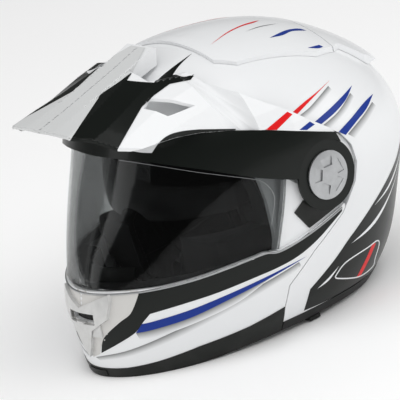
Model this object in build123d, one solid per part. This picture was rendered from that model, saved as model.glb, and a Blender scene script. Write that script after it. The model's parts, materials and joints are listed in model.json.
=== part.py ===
from build123d import *
from functools import cache
from math import cos, hypot, pi, radians, sin, sqrt
import os

# Flip-front helmet with a peak, for road and track use.
# Millimetres. +Z is up, the wearer faces -Y, and the wearer's left is +X.
# The helmet stands on its lower edge at Z = 0, and X = 0 is its middle.

os.makedirs("parts", exist_ok=True)

# Outer form
shell_height = 256
half_width = 131
front_reach = 172
rear_reach = 175
crown_middle = -10

# Walls and gaps
shell_wall = 4
trim_wall = 6
trim_proud = 0.6
visor_wall = 2.4
peak_wall = 2.4
seam_gap = 1.0
part_gap = 0.3
run_gap = 0.6

# Pivot of the flip front, the visor and the peak, on each side
pivot_y = 16.2
pivot_z = 136.3
pocket_face = 113.5
pocket_wall = 4
pivot_plate_wall = 4.3
pivot_plate_radius = 35
arm_wall = 4
lobe_wall = 2.4
lobe_gap = 0.4
visor_lobe_face = 128.8
cap_wall = 3.8
cap_dome = 2.2
hub_radius = 8
hub_gap = 0.08
arm_radius = 38
visor_lobe_radius = 25
frame_lobe_radius = 31
cap_radius = 21.3
pivot_screw_radius = 2.5
pivot_screw_head = 5

# Depths of the flip front's arms and of the pocket under the outer form
arm_depth = 3
arm_cover_rise = 1.5
pocket_depth = 7.8

# Visor and peak stand-off
visor_side_rise = 0.4
visor_top_rise = 4
peak_side_rise = 5
peak_front_rise = 14

# Rim
rim_arch = 5
rim_trim_height = 9

# Head space and padding
head_half_width = 77
head_front = 92
head_rear = 112
head_top = 221
head_middle = 6
comfort_wall = 7
foam_gap = 0.5
cheek_pad_depth = 16
cheek_pad_top = 105
cheek_pad_foot = 15
cheek_pad_front = -82
cheek_pad_rear = 56
cheek_pad_reach = 132
neck_roll_top = 35
neck_roll_foot = 4

# Sun visor, a piece of a barrel about its own hinge line
sun_pivot_y = 15
sun_pivot_z = 132
sun_radius = 115
sun_barrel = 112
sun_half_width = 90
sun_wall = 2
sun_ear_radius = 9
sun_pin_radius = 3
sun_top_angle = 150
sun_low_angle = 186
sun_travel = 36
sun_room = 1.4

# Crown fairing and rear spoiler
fairing_rise = 2.5
spoiler_share = 0.085
spoiler_edge_z = 188
outlet_half_width = 30

# Chin vent
vent_rise = 3.8
shutter_half_width = 20
shutter_low = 40
shutter_high = 51.6
shutter_travel = 8
intake_low = 52
intake_high = 62

# Chin strap
strap_wall = 2
strap_width = 22
strap_middle_y = -14

lateral = Plane.YZ


def rows_from_shares(rows):
    """Height, half width, front, rear, middle and the two exponents in millimetres."""
    return [
        (h * shell_height, w * half_width, f * front_reach, r * rear_reach, c, nf, nr)
        for h, w, f, r, c, nf, nr in rows
    ]


# Lines of the closed shell from the neck up, in shares of the outer form
shell_lines = rows_from_shares(
    [
        (-0.06, 0.66, 0.965, 0.61, -9, 1.9, 2.3),
        (0.00, 0.71, 0.983, 0.697, -8, 1.9, 2.3),
        (0.12, 0.84, 1.0, 0.834, -4, 1.85, 2.3),
        (0.245, 0.91, 0.998, 0.909, 0, 1.8, 2.3),
        (0.37, 0.963, 0.936, 0.966, 3, 1.8, 2.3),
        (0.50, 1.0, 0.80, 1.0, 4, 1.9, 2.4),
        (0.64, 0.985, 0.68, 0.965, 3, 2.0, 2.4),
        (0.77, 0.89, 0.594, 0.85, 0, 2.1, 2.2),
        (0.87, 0.72, 0.483, 0.67, -4, 2.1, 2.15),
        (0.94, 0.51, 0.36, 0.475, -7, 2.1, 2.1),
        (0.98, 0.29, 0.215, 0.26, -9, 2.0, 2.0),
        (0.996, 0.12, 0.11, 0.095, -10, 2.0, 2.0),
    ]
)


def wider_lines(side_rise, top_rise, front_shares):
    """Shell lines stood off at the sides and the crown, with a front of their own."""
    return [
        (
            z + top_rise * z / shell_height, half + side_rise, share * front_reach,
            rear + side_rise, middle, nf, nr,
        )
        for (z, half, _, rear, middle, nf, nr), share in zip(shell_lines, front_shares)
    ]


# The visor leans less at the front than the shell, and the peak's cheeks stand outside it
visor_shares = [
    0.965, 0.983, 0.995, 0.985, 0.936, 0.834, 0.72, 0.637, 0.55, 0.43, 0.28, 0.15,
]
visor_lines = wider_lines(visor_side_rise, visor_top_rise, visor_shares)
peak_shares = [share + 0.045 for share in visor_shares]
peak_lines = wider_lines(peak_side_rise, peak_front_rise, peak_shares)

# The crown fairing and the spoiler stand off more and more towards the rear edge
wing_lines = [
    (
        z + fairing_rise * z / shell_height, half + fairing_rise, reach + fairing_rise,
        rear + fairing_rise + spoiler_share * (shell_height - z), middle, nf, nr,
    )
    for z, half, reach, rear, middle, nf, nr in shell_lines
]

# Lines of the wearer's head, in shares of its sizes
head_lines = [
    (h * head_top, w * head_half_width, f * head_front, r * head_rear, head_middle, 2.1, 2.1)
    for h, w, f, r in [
        (-0.12, 0.90, 0.80, 0.76),
        (0.10, 0.91, 0.86, 0.80),
        (0.30, 0.96, 0.96, 0.92),
        (0.50, 1.0, 1.0, 1.0),
        (0.70, 0.985, 0.985, 0.985),
        (0.85, 0.85, 0.86, 0.87),
        (0.94, 0.61, 0.62, 0.63),
        (0.985, 0.32, 0.33, 0.33),
    ]
]

forms = {
    "shell": (shell_lines, shell_height, crown_middle),
    "visor": (visor_lines, shell_height + visor_top_rise, crown_middle),
    "peak": (peak_lines, shell_height + peak_front_rise, crown_middle),
    "wing": (wing_lines, shell_height + fairing_rise, crown_middle),
    "head": (head_lines, head_top, head_middle),
}


def half_ring(row, steps=8):
    """Left half of one level curve, closed along the middle plane."""
    z, half, front, rear, middle, n_front, n_rear = row
    points = []
    for k in range(1, steps):
        s, c = sin(pi * k / steps), cos(pi * k / steps)
        n, reach = (n_rear, rear - middle) if c > 0 else (n_front, -middle - front)
        points.append((half * s ** (2 / n), middle + reach * abs(c) ** (2 / n), z))
    start, end = (0, rear, z), (0, -front, z)
    curve = Spline(start, *points, end, tangents=[(1, 0, 0), (-1, 0, 0)], tangent_scalars=[1, 1])
    return make_face([curve, Line(end, start)])


def lines_offset(lines, amount):
    """The same lines moved out along the normal of their side profile."""
    moved = []
    for i, (z, half, front, rear, middle, nf, nr) in enumerate(lines):
        low = lines[max(i - 1, 0)]
        high = lines[min(i + 1, len(lines) - 1)]
        rise, run = high[0] - low[0], high[1] - low[1]
        length = hypot(rise, run)
        up, out = -run / length * amount, rise / length * amount
        moved.append((z + up, half + out, front + out, rear + out, middle, nf, nr))
    return moved


@cache
def form(name, amount=0.0):
    """Left half of the closed solid of one set of lines, moved outwards by an amount."""
    lines, top, middle = forms[name]
    rings = [half_ring(row) for row in lines_offset(lines, amount)]
    return loft(rings + [Vertex(0, middle, top + amount)])


def row_at(name, amount, z):
    """One level curve's sizes at any height, between the named lines."""
    lines = lines_offset(forms[name][0], amount)
    k = max(1, min(len(lines) - 3, sum(1 for row in lines if row[0] <= z) - 1))
    near = lines[k - 1:k + 3]
    row = [z]
    for column in range(1, 7):
        value = 0
        for i in range(4):
            weight = 1
            for j in range(4):
                if j != i:
                    weight *= (z - near[j][0]) / (near[i][0] - near[j][0])
            value += weight * near[i][column]
        row.append(value)
    return row


def half_width_at(name, amount, y, z):
    """Half width of a form at a place in the side view."""
    _, half, front, rear, middle, nf, nr = row_at(name, amount, z)
    reach, n = (rear - middle, nr) if y > middle else (middle + front, nf)
    share = min(abs(y - middle) / reach, 1)
    return half * (1 - share**n) ** (1 / n)


def side_face(*corners):
    """Flat face in the side view through (Y, Z) corners."""
    return make_face(Polyline(*corners, close=True))


def across(face, low=-20, high=170):
    """Run a side-view face sideways, over one stretch of X."""
    return Pos(low, 0, 0) * extrude(lateral * face, amount=high - low)


def block(x, y, z):
    """Box between two places on each axis."""
    middle = Pos((x[0] + x[1]) / 2, (y[0] + y[1]) / 2, (z[0] + z[1]) / 2)
    return middle * Box(x[1] - x[0], y[1] - y[0], z[1] - z[0])


def disc(radius, low, high, y=pivot_y, z=pivot_z):
    """Round bar along X between two distances from the middle."""
    return Pos((low + high) / 2, y, z) * Rot(0, 90, 0) * Cylinder(radius, high - low)


def whole(half):
    """A piece that crosses the middle plane, from its left half."""
    return half.fuse(half.mirror(Plane.YZ), glue=True)


def both(solid):
    """A left piece and its mirror image as one group."""
    return Compound([*solid.solids(), *solid.mirror(Plane.YZ).solids()])


def ring_face(radius):
    """Disc about the pivot in the side view."""
    return Pos(pivot_y, pivot_z) * Circle(radius)


def pivot_point(radius, angle):
    """Side-view point at a distance and an angle from the pivot, +Y being 0."""
    return (
        pivot_y + radius * cos(radians(angle)),
        pivot_z + radius * sin(radians(angle)),
    )


# Side-view outlines

foot = -20
front = -front_reach - 20
back = rear_reach + 20
seam_foot = (-37, foot)
seam_points = [(-36, 28), (-31, 48), (-3, 71), (32, 94)]
gap_radius = arm_radius + seam_gap
seam_arc = [pivot_point(gap_radius, angle) for angle in (-30, -5, 20, 45, 68)]
brow_edge_z = 190
brow_points = [(6, 186), (-12, 201), (-34, 214), (-54, 214), (-64, 202)]
silver_line = [
    (front, 80), (-129, 80), (-105, 82), (-77, 85.5), (-52, 88), (-39, 85), (-18, 88), (34, 102),
]
trim_line = [(front, 8), (-160, 9), (-141, 12), (-112, 18), (-70, 23), (-34, 30)]
port_edge = [(-66, brow_edge_z), (-52, 176), (-42, 156), (-37, 130), (-36, 92), (-40, 70)]


def rim_face(rise=0.0):
    """Everything under the helmet's lower edge, which arches a little at the sides."""
    low = -40
    arch = ThreePointArc((-110, rise), (-8, rim_arch + rise), (94, rise))
    rest = Polyline((94, rise), (back, rise), (back, low), (front, low), (front, rise), (-110, rise))
    return make_face([arch, rest])


def shell_face():
    """Shell's flush region in the side view."""
    top = shell_height + 30
    return side_face(
        seam_foot, *seam_points, *seam_arc, *brow_points, (-80, brow_edge_z),
        (front, brow_edge_z), (front, top), (back, top), (back, foot),
    )


def pocket_outline():
    """Recess in each side of the shell for the flip front's arm and the visor."""
    lap = 12
    lower = [(y - lap, z) for y, z in reversed(seam_points[:2])]
    return side_face(
        seam_foot, *seam_points, *seam_arc, *brow_points, *port_edge, *lower,
        (seam_foot[0] - lap, foot),
    )


def chin_face():
    """Flush lower part of the flip front, before the seam's gap is taken off."""
    return side_face(*silver_line, (40, 60), *reversed(trim_line))


def arm_outline():
    """Recessed arm of the flip front, without its round end at the pivot."""
    return side_face(
        *silver_line[5:], (46, 112), (pivot_y, pivot_z), (-12, 162), (-22, 149),
    )


def visor_face():
    """Whole visor in the side view, with its arm, without its lobe round the pivot."""
    return side_face(
        (front, 81.5), (-129, 81.5), (-105, 83.5), (-77, 87), (-52, 89.5), (-38.5, 86.5),
        (-23, 147), (-8, 134), (pivot_y, pivot_z), (8, 157), (-14, 155), (-22, 157), (-50, 183),
        (-80, 198), (-100, 202), (front, 202),
    )


def frame_face():
    """Black band of the peak in the side view, without its lobe round the pivot."""
    return side_face(
        (front, 189), (-123, 189), (-111, 186), (-86, 175), (-50, 157), (-30, 149), (-16, 144),
        (pivot_y, pivot_z), (40, 150), (34, 169), (5, 180), (-30, 193), (-55, 200),
        (-79, 205), (-100, 207), (front, 207),
    )


def between(solid, outer, inner):
    """The part of a solid that lies inside one form and outside another."""
    return (solid & outer) - inner


# Layers with a step in them, such as a wall that dips into a recess

def sunk_solid(amount, recess, depth, plane):
    """Left half of the shell's form, cut down to a depth and a plane within a recess."""
    low = form("shell", -depth)
    if plane:
        low &= block((-10, plane), (front, back), (-60, 300))
    return form("shell", amount) - (across(recess, 20) - low)


def stepped_layer(face, recess, depth, wall, plane=None):
    """One moulding that follows the shell's form and dips into a recess."""
    lower = plane - wall if plane else None
    outer = sunk_solid(0, recess, depth, plane) & across(face)
    return outer - sunk_solid(-wall, offset(recess, wall), depth + wall, lower)


# Shell and what is fixed to it

def make_outer_shell():
    """Painted shell: one moulding with a pocket in each side for the moving front."""
    face = shell_face() + pocket_outline()
    half = stepped_layer(face, pocket_outline(), pocket_depth, shell_wall, pocket_face)
    half -= across(rim_face(rim_trim_height))
    half -= disc(hub_radius + hub_gap, 60, 160)
    return whole(half)


def make_rim_trim():
    """Rubber edge under the shell, behind the seam, with the sun visor lever's groove."""
    keep = side_face(seam_foot, *seam_points[:2], (back, 60), (back, foot))
    band = across((rim_face(rim_trim_height) - rim_face()) & keep)
    trim = whole(between(band, form("shell", trim_proud), form("shell", -trim_wall)))
    return trim - lever_groove()


def make_eyeport_gasket():
    """Rubber strip along the brow, under the edge of the shell."""
    strip = 4
    face = side_face(
        (front, brow_edge_z), (-80, brow_edge_z), (-80, brow_edge_z - strip),
        (front, brow_edge_z - strip),
    )
    return whole(between(across(face), form("shell", part_gap), form("shell", -shell_wall - 1)))


def foam_face(gap=0.0):
    """Side-view region of the crash foam, above the cheek pads and the neck roll."""
    low = cheek_pad_top + foam_gap + gap
    return side_face(
        (front, brow_edge_z - gap), (-80, brow_edge_z), (-62, 184), (-46, 160), (-38, 130),
        (-36, low), (cheek_pad_rear + gap, low), (cheek_pad_rear + gap, neck_roll_top + foam_gap),
        (back, neck_roll_top + foam_gap), (back, shell_height), (front, shell_height),
    )


def make_eps_liner():
    """Crash foam between the shell and the comfort lining."""
    depth = pocket_depth + pocket_wall + foam_gap
    grown = offset(pocket_outline(), shell_wall + foam_gap)
    outer = sunk_solid(-shell_wall - foam_gap, grown, depth, pocket_face - pocket_wall - foam_gap)
    half = between(across(foam_face()), outer, form("head", comfort_wall + foam_gap))
    half -= sun_barrel_cut()
    ear_low = sun_half_width - sun_wall - sun_room
    half -= disc(sun_ear_radius + 3 * sun_room, ear_low, 94, sun_pivot_y, sun_pivot_z)
    half -= sun_arm_cut()
    half -= disc(pivot_screw_head + sun_room, 99, 120)
    half -= disc(sun_pin_radius + part_gap, 80, 99, sun_pivot_y, sun_pivot_z)
    return whole(half)


def make_comfort_liner():
    """Soft lining next to the wearer's head."""
    half = between(across(foam_face(foam_gap)), form("head", comfort_wall), form("head"))
    half -= sun_barrel_cut(outside=comfort_wall + 33)
    half -= disc(sun_pin_radius + part_gap, 80, 99, sun_pivot_y, sun_pivot_z)
    return whole(half)


def make_cheek_pad():
    """Left cheek pad, drawn in round its edge towards the cheek."""
    outline = side_face(
        (cheek_pad_front + 14, cheek_pad_foot + 22), (cheek_pad_front + 40, cheek_pad_foot),
        (cheek_pad_rear, cheek_pad_foot), (cheek_pad_rear, cheek_pad_top),
        (cheek_pad_front, cheek_pad_top), (cheek_pad_front, cheek_pad_top - 40),
    )
    pad = across(outline & ring_face(cheek_pad_reach), 20, 90)
    pad = between(pad, form("shell", -cheek_pad_depth), form("head", -2))
    room = strap_width / 2 + 2
    return pad - block((20, 110), (strap_middle_y - room, strap_middle_y + room), (0, 33))


def make_neck_roll():
    """Padded roll round the back of the neck opening."""
    slab = block((-10, 140), (cheek_pad_rear + foam_gap, back), (neck_roll_foot, neck_roll_top))
    return whole(between(slab, form("shell", -trim_wall - 1), form("head", -3)))


def plan_solid(*corners):
    """Upright block over a plan outline, over the upper half of the helmet."""
    return Pos(0, 0, 120) * extrude(make_face(Polyline(*corners, close=True)), amount=160)


def make_crown_fairing():
    """Raised centre panel over the crown, from behind the peak to the spoiler."""
    plan = plan_solid(
        (-10, -22), (60, -22), (73, -8), (77, 20), (80, 44), (83, 70), (74, 96), (-10, 96)
    )
    return whole(between(plan, form("wing"), form("shell", part_gap)))


def make_rear_spoiler():
    """Wing behind the crown, thickest at its trailing edge, with an air outlet."""
    plan = plan_solid(
        (-10, 97), (74, 97), (66, 108), (71, 131), (64, 150), (40, 190), (-10, 190)
    )
    plan -= block((-20, 120), (60, 200), (100, spoiler_edge_z))
    half = between(plan, form("wing"), form("shell", part_gap))
    half -= form("wing", -1.6) & block(
        (-10, outlet_half_width), (130, 200), (100, spoiler_edge_z + 8)
    )
    return whole(half)


def make_rear_vent_grille():
    """Upright slats in the spoiler's outlet, on one cross bar."""
    bars = block((0, outlet_half_width - part_gap), (130, 200), (spoiler_edge_z + 3, spoiler_edge_z + 5))
    for k in range(4):
        x = outlet_half_width * (k + 0.5) / 4
        bars += block((x - 1, x + 1), (130, 200), (spoiler_edge_z + part_gap, spoiler_edge_z + 7))
    return whole(between(bars, form("wing", -2), form("shell", part_gap)))


# Pivot of the moving front, one stack on each side

arm_face = pocket_face + pivot_plate_wall + run_gap
frame_lobe_face = visor_lobe_face + lobe_wall + lobe_gap
cap_face = frame_lobe_face + lobe_wall + lobe_gap


def make_pivot_base():
    """Left base plate with the hub that carries the front, the visor and the peak."""
    base = disc(pivot_plate_radius, pocket_face, pocket_face + pivot_plate_wall)
    base += disc(hub_radius, pocket_face - pocket_wall, cap_face)
    base -= disc(pivot_screw_radius + 0.05, 90, cap_face - 4)
    for angle in range(0, 360, 90):
        y, z = pivot_point(pivot_plate_radius - 8, angle + 45)
        base -= disc(3, pocket_face + 1.5, 140, y, z)
    return base


def make_pivot_cap():
    """Left round cap with its low dome and five recesses."""
    top = cap_face + cap_wall
    ball = (cap_radius**2 + cap_dome**2) / (2 * cap_dome)
    cap = disc(cap_radius, cap_face, top)
    cap &= Pos(top - ball, pivot_y, pivot_z) * Rot(0, 0, 180) * Sphere(ball)
    recess = make_face(Polyline((-4.6, 8), (4.6, 8), (6.6, 15.5), (-6.6, 15.5), close=True))
    for k in range(5):
        turned = Pos(pivot_y, pivot_z) * Rot(0, 0, 72 * k) * recess
        cap -= across(turned, cap_face + 2, 150)
    return cap


def make_pivot_screws():
    """Screw through each hub from inside the shell."""
    inner = pocket_face - pocket_wall
    screw = disc(pivot_screw_head, inner - 3.5, inner) + disc(pivot_screw_radius, inner, cap_face - 5)
    screw -= across(Pos(pivot_y, pivot_z) * RegularPolygon(2, 6), inner - 4, inner - 2)
    return both(screw)


# Flip front

def make_chin_bar():
    """Painted flip front: chin, recessed arms and thick round ends."""
    arm = arm_outline()
    gap = offset(shell_face(), seam_gap) - ring_face(arm_radius + seam_gap)
    recess = arm - chin_face()
    face = chin_face() + arm - gap
    half = stepped_layer(face, recess, arm_depth, arm_wall)
    half += form("shell", -arm_depth) & disc(arm_radius, arm_face, 160)
    half -= disc(arm_radius, 0, arm_face) + disc(hub_radius + hub_gap, 60, 160)
    half -= block((-10, 16), (front, -120), (intake_low + 1, intake_high - 2))
    return whole(half)


def make_chin_trim():
    """Black lower edge of the flip front, with the release button's hole."""
    face = side_face(*trim_line, (-20, 30), (-20, foot), (front, foot))
    band = across(face - rim_face() - offset(shell_face(), seam_gap))
    trim = whole(between(band, form("shell", trim_proud), form("shell", -trim_wall)))
    return trim - button_room()


def make_chin_bar_liner():
    """Crash foam inside the chin."""
    room = block((-10, 140), (front, -92), (13, 78))
    half = between(room, form("shell", -shell_wall - foam_gap), form("shell", -22))
    edge = [(y, z + part_gap) for y, z in trim_line]
    under = across(side_face(*edge, (-20, 30), (-20, foot), (front, foot))) & room
    return whole(half - between(under, form("shell"), form("shell", -trim_wall - part_gap)))


def make_breath_guard():
    """Rubber deflector in front of the nose, on the chin foam."""
    room = block((-10, 34), (front, -92), (56, 92))
    return whole(between(room, form("shell", -22 - part_gap), form("shell", -24 - part_gap)))


def make_chin_curtain():
    """Cloth panel under the chin, inside the black edge."""
    rear, level, wall = -112, 10, 2
    inset = -trim_wall - part_gap
    edge = [(half_width_at("shell", inset, y, level), y) for y in (rear, -125, -138, -150, -159)]
    tip = (0, -row_at("shell", inset, level)[2])
    curve = Spline(*edge, tip, *[(-x, y) for x, y in reversed(edge)])
    inner = ThreePointArc((-edge[0][0], rear), (0, -134), (edge[0][0], rear))
    return Pos(0, 0, level) * extrude(make_face([curve, inner]), amount=wall)


def make_visor_seal():
    """Rubber lip along the top of the chin, just behind the visor's lower edge."""
    room = block((-10, 110), (front, -72), (78.6, 86))
    outer = -shell_wall - part_gap
    return whole(between(room, form("shell", outer), form("shell", outer - 2)))


def shield(grow=0.0):
    """Front-view outline of the chin vent, run along Y."""
    outline = make_face(
        Polyline((0, 20), (6, 30), (12, 46), (29, 57), (33, 72), (32, 79), (4, 68), (0, 66), close=True)
    )
    face = outline + outline.mirror(Plane.YZ)
    return extrude(Plane.XZ * face, amount=220)


def make_chin_vent_housing():
    """Raised vent on the chin, with a pocket for its shutter."""
    half = between(shield(), form("shell", vent_rise), form("shell", 0.1))
    half -= form("shell", vent_rise - 1.2) & block(
        (-10, shutter_half_width + run_gap), (front, -120),
        (shutter_low - run_gap, shutter_high + shutter_travel + run_gap),
    )
    half -= block((-10, shutter_half_width - 3), (front, -120), (intake_low, intake_high))
    return whole(half)


def make_chin_vent_shutter():
    """Plate that slides up behind the vent's slot, with a finger ridge."""
    plate = block((-10, shutter_half_width), (front, -120), (shutter_low, shutter_high))
    half = between(plate, form("shell", vent_rise - 1.8), form("shell", run_gap))
    foot = block((-10, 5), (front, -120), (shutter_high - 0.2, intake_low + 1.8))
    tip = block((-10, 5), (front, -120), (intake_low + 0.6, intake_low + 1.8))
    half += between(foot, form("shell", vent_rise - 1.8), form("shell", run_gap))
    return whole(half + between(tip, form("shell", vent_rise + 0.6), form("shell", run_gap)))


def make_arm_cover():
    """Left black plate on the recessed arm, under the disc."""
    face = side_face((-9, 121), (-19, 113), (-15, 107), (-6, 94), (29, 103), (29, 120))
    cover = across(face - Pos(pivot_y, pivot_z) * Circle(visor_lobe_radius + seam_gap), 90)
    return between(cover, form("shell", -arm_cover_rise), form("shell", -arm_depth + 0.05))


# Visor

def make_visor_shield():
    """Clear shield with a lobe about each pivot and a lifting tab."""
    face = visor_face() - Pos(pivot_y, pivot_z) * Circle(visor_lobe_radius)
    skin = between(across(face), form("visor"), form("visor", -visor_wall))
    half = skin + disc(visor_lobe_radius, visor_lobe_face, visor_lobe_face + lobe_wall)
    half -= disc(hub_radius + hub_gap, 60, 160)
    tab = between(block((-10, 13), (front, -100), (84, 87)), form("visor", 3), form("visor", -0.5))
    return whole(half + tab)


# Peak

def make_peak_frame():
    """Black band of the peak, from lobe to lobe across the brow."""
    face = frame_face() - Pos(pivot_y, pivot_z) * Circle(frame_lobe_radius)
    skin = between(across(face), form("peak"), form("peak", -peak_wall))
    half = skin + disc(frame_lobe_radius, frame_lobe_face, frame_lobe_face + lobe_wall)
    half -= disc(hub_radius + hub_gap, 60, 160)
    return whole(half)


hood_sections = {
    -178: [(0, 227), (20, 227), (42, 226), (58, 219), (72, 209), (84, 198), (92, 186)],
    -145: [(0, 235.5), (19, 235.5), (38, 234), (56, 225), (72, 213), (84, 202.5), (94, 186)],
    -120: [(0, 242), (16, 242), (32, 240.5), (52, 232), (70, 221), (85, 206), (98, 186)],
    -90: [(0, 251), (13, 251), (26, 249.5), (48, 243), (70, 231), (88, 215), (104, 186)],
    -60: [(0, 261), (11, 261), (22, 259), (50, 249), (75, 237), (97, 222), (116, 186)],
}
hood_rear = (-35, -5, 25, 50)
hood_base = 140
ridge_half_width = 18.5


def rear_section(y):
    """Section of the peak's cheeks behind the hood, from the peak's own lines."""
    low, high = 160, 236
    points = []
    for k in range(6):
        z = high + (low - high) * k / 5
        points.append((half_width_at("peak", 0, y, z), z))
    return [(0, high + 16)] + points


def hood_solid(wall):
    """Left half of the peak's closed body, drawn in by a wall."""
    faces = []
    sections = dict(hood_sections)
    for y in hood_rear:
        sections[y] = rear_section(y)
    for y, points in sections.items():
        inner = []
        for i, (x, z) in enumerate(points):
            before = points[max(i - 1, 0)]
            after = points[min(i + 1, len(points) - 1)]
            dx, dz = after[0] - before[0], after[1] - before[1]
            length = hypot(dx, dz)
            inner.append((max(x + dz / length * wall, 0), z - dx / length * wall))
        inner[0] = (0, points[0][1] - wall)
        corners = [(x, y, z) for x, z in inner]
        base = [(inner[-1][0], y, hood_base), (0, y, hood_base)]
        faces.append(make_face(Polyline(*corners, *base, close=True)))
    return loft(faces, ruled=True)


def make_peak():
    """Peak: hood over the brow with two cheeks that run back to the pivots."""
    half = hood_solid(0) - hood_solid(peak_wall)
    side = side_face(
        (front, 207), (-100, 207), (-79, 205), (-55, 200), (-30, 193), (5, 180), (34, 169),
        (30, 174), (12, 188), (-3, 201), (-27, 219), (-46, 235), (-49, 244), (-82, 245),
        (-82, 280), (front, 280),
    )
    half &= across(side)
    plan = make_face(
        Polyline(
            (-10, -171.6), (42, -170.8), (72, -145.3), (86, -122), (104, -96), (150, -60),
            (150, 60), (-10, 60), close=True,
        )
    )
    half &= Pos(0, 0, 100) * extrude(plan, amount=200)
    slot = make_face(
        Polyline((57, -94), (73, -80), (87, -69.5), (78, -93), (61, -104), close=True)
    )
    half -= Pos(0, 0, 200) * extrude(slot, amount=80)
    top = [(-136, 238), (-82, 254), (-52, 264), (-49, 262)]
    ridge = across(side_face(*top, (-52, 248), (-82, 240), (-130, 236)), 0, ridge_half_width)
    ridge -= across(
        side_face((-82, 251.5), (-52, 261.5), (-40, 262), (-40, 240), (-82, 230)), 0,
        ridge_half_width - peak_wall,
    )
    return whole(half + ridge)


# Sun visor

def barrel_radius(x):
    """Radius of the sun visor's barrel at a distance from the middle."""
    return sun_radius * sqrt(1 - (x / sun_barrel) ** 2)


def barrel_strip(inner, outer, reach, top_angle, low_angle):
    """Left half of a strip of the barrel, between two angles about the hinge line."""
    def curve(shift):
        xs = [reach * k / 5 for k in range(6)]
        return [(x, -barrel_radius(x) - shift) for x in xs]
    near, away = curve(inner), curve(outer)
    face = make_face(
        [
            Spline(*away),
            Line(away[-1], near[-1]),
            Spline(*near),
            Line(near[0], away[0]),
        ]
    )
    strip = revolve(face, Axis.X, low_angle - top_angle)
    return Pos(0, sun_pivot_y, sun_pivot_z) * Rot(top_angle - 180, 0, 0) * strip


def make_sun_visor():
    """Tinted inner lens with an ear at each end of its hinge line."""
    half = barrel_strip(-sun_wall, 0, sun_half_width, sun_top_angle, sun_low_angle)
    ear = side_arm(sun_half_width - sun_wall, sun_half_width, 0)
    half += ear
    half -= disc(sun_pin_radius + hub_gap, 60, 100, sun_pivot_y, sun_pivot_z)
    lens = whole(half)
    nose = Pos(0, -90, sun_pivot_z - 28) * Rot(90, 0, 0) * Cylinder(26, 60)
    return lens - nose


def side_arm(low, high, grow):
    """Flat arm from the sun visor's end to its hinge line."""
    reach = barrel_radius(sun_half_width) + grow
    corners = []
    for angle in (sun_top_angle + 4 - grow, sun_low_angle - 2 + grow):
        a = radians(angle)
        corners.append((sun_pivot_y + reach * cos(a), sun_pivot_z + reach * sin(a)))
    ear = Pos(sun_pivot_y, sun_pivot_z) * Circle(sun_ear_radius + grow)
    arm = side_face(
        (sun_pivot_y, sun_pivot_z + sun_ear_radius + grow), corners[0], corners[1],
        (sun_pivot_y, sun_pivot_z - sun_ear_radius - grow),
    )
    return across(arm + ear, low, high)


def sun_barrel_cut(outside=sun_room):
    """Room for the lens, down and stowed, and for what is taken off outside it."""
    return barrel_strip(
        -sun_wall - sun_room, outside, sun_half_width + sun_room,
        sun_top_angle - sun_travel - 3, sun_low_angle + 3,
    )


def sun_arm_cut():
    """Room in the crash foam for the lens's arms over their travel."""
    low, high = sun_half_width - sun_wall - sun_room, sun_half_width + sun_room
    reach = barrel_radius(sun_half_width) + sun_room
    first, last = sun_top_angle - sun_travel - 3, sun_low_angle + 4
    points = []
    for k in range(7):
        a = radians(first + (last - first) * k / 6)
        points.append((sun_pivot_y + (reach + 3) * cos(a), sun_pivot_z + (reach + 3) * sin(a)))
    low_side = (sun_pivot_y, sun_pivot_z - sun_ear_radius - 3)
    high_side = (sun_pivot_y + 10, sun_pivot_z + sun_ear_radius + 3)
    return across(side_face(*points, low_side, high_side), low, high)


def make_sun_pins():
    """Pins that the sun visor hangs on."""
    return both(disc(sun_pin_radius, 86, 98.7, sun_pivot_y, sun_pivot_z))


lever_x = 93
lever_y = 0
lever_width = 3
lever_length = 16
lever_travel = 14


def lever_groove():
    """Groove in the left rim for the sun visor lever's rail."""
    slack = 0.35
    return block(
        (lever_x - lever_width / 2 - slack, lever_x + lever_width / 2 + slack),
        (lever_y - lever_length / 2 - slack, lever_y + lever_length / 2 + lever_travel + slack),
        (0, 9),
    )


def make_sun_visor_lever():
    """Slider under the left rim that moves the sun visor."""
    rail = block(
        (lever_x - lever_width / 2, lever_x + lever_width / 2),
        (lever_y - lever_length / 2, lever_y + lever_length / 2), (4, 8.6),
    )
    knob = block((lever_x - 4, lever_x + 4), (lever_y - 6, lever_y + 6), (1, 4.3))
    return knob + rail


# Release button under the chin

button_half_width = 12
button_low = 1.6
button_high = 6.6
button_travel = 3
button_back = -160
button_gap = 0.4
housing_rear = -146


def button_room():
    """Hole for the release button."""
    return block(
        (-button_half_width - button_gap, button_half_width + button_gap),
        (front, button_back + 20), (button_low - button_gap, button_high + button_gap),
    )


def make_release_button():
    """Button that frees the flip front."""
    half = form("shell", trim_proud + 0.8) & block(
        (-10, button_half_width), (front, button_back), (button_low, button_high)
    )
    return whole(half)


def make_release_housing():
    """Box behind the button that guides it, on the inside of the black edge."""
    half = form("shell", -trim_wall) & block((-10, 18), (front, housing_rear), (0.6, 8.6))
    half -= block(
        (-10, button_half_width + button_gap), (front, button_back + button_travel + 1),
        (button_low - button_gap, button_high + button_gap),
    )
    return whole(half)


# Latch on each side

striker_y = -58
striker_z = 42
striker_pin_radius = 2.5
striker_pin_end = 6.1
latch_angle = -38
catch_wall = 3.2


def latch_corners(*corners):
    """Side-view face drawn about the striker, with the hook's mouth along its first axis."""
    s, c = sin(radians(latch_angle)), cos(radians(latch_angle))
    return side_face(*[(striker_y + u * c - v * s, striker_z + u * s + v * c) for u, v in corners])


def make_striker():
    """Left striker: a plate inside the shell's pocket wall with a cross pin at its front end."""
    plate = across(side_face((-38, 32), (-38, 52), (-59, 47), (-62, 42), (-59, 37)), 60)
    floor = pocket_depth + shell_wall
    striker = between(plate, form("shell", -floor), form("shell", -floor - 2))
    pin = disc(striker_pin_radius, 80, 120, striker_y, striker_z)
    return striker + between(pin, form("shell", -striker_pin_end), form("shell", -floor - 1))


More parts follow.
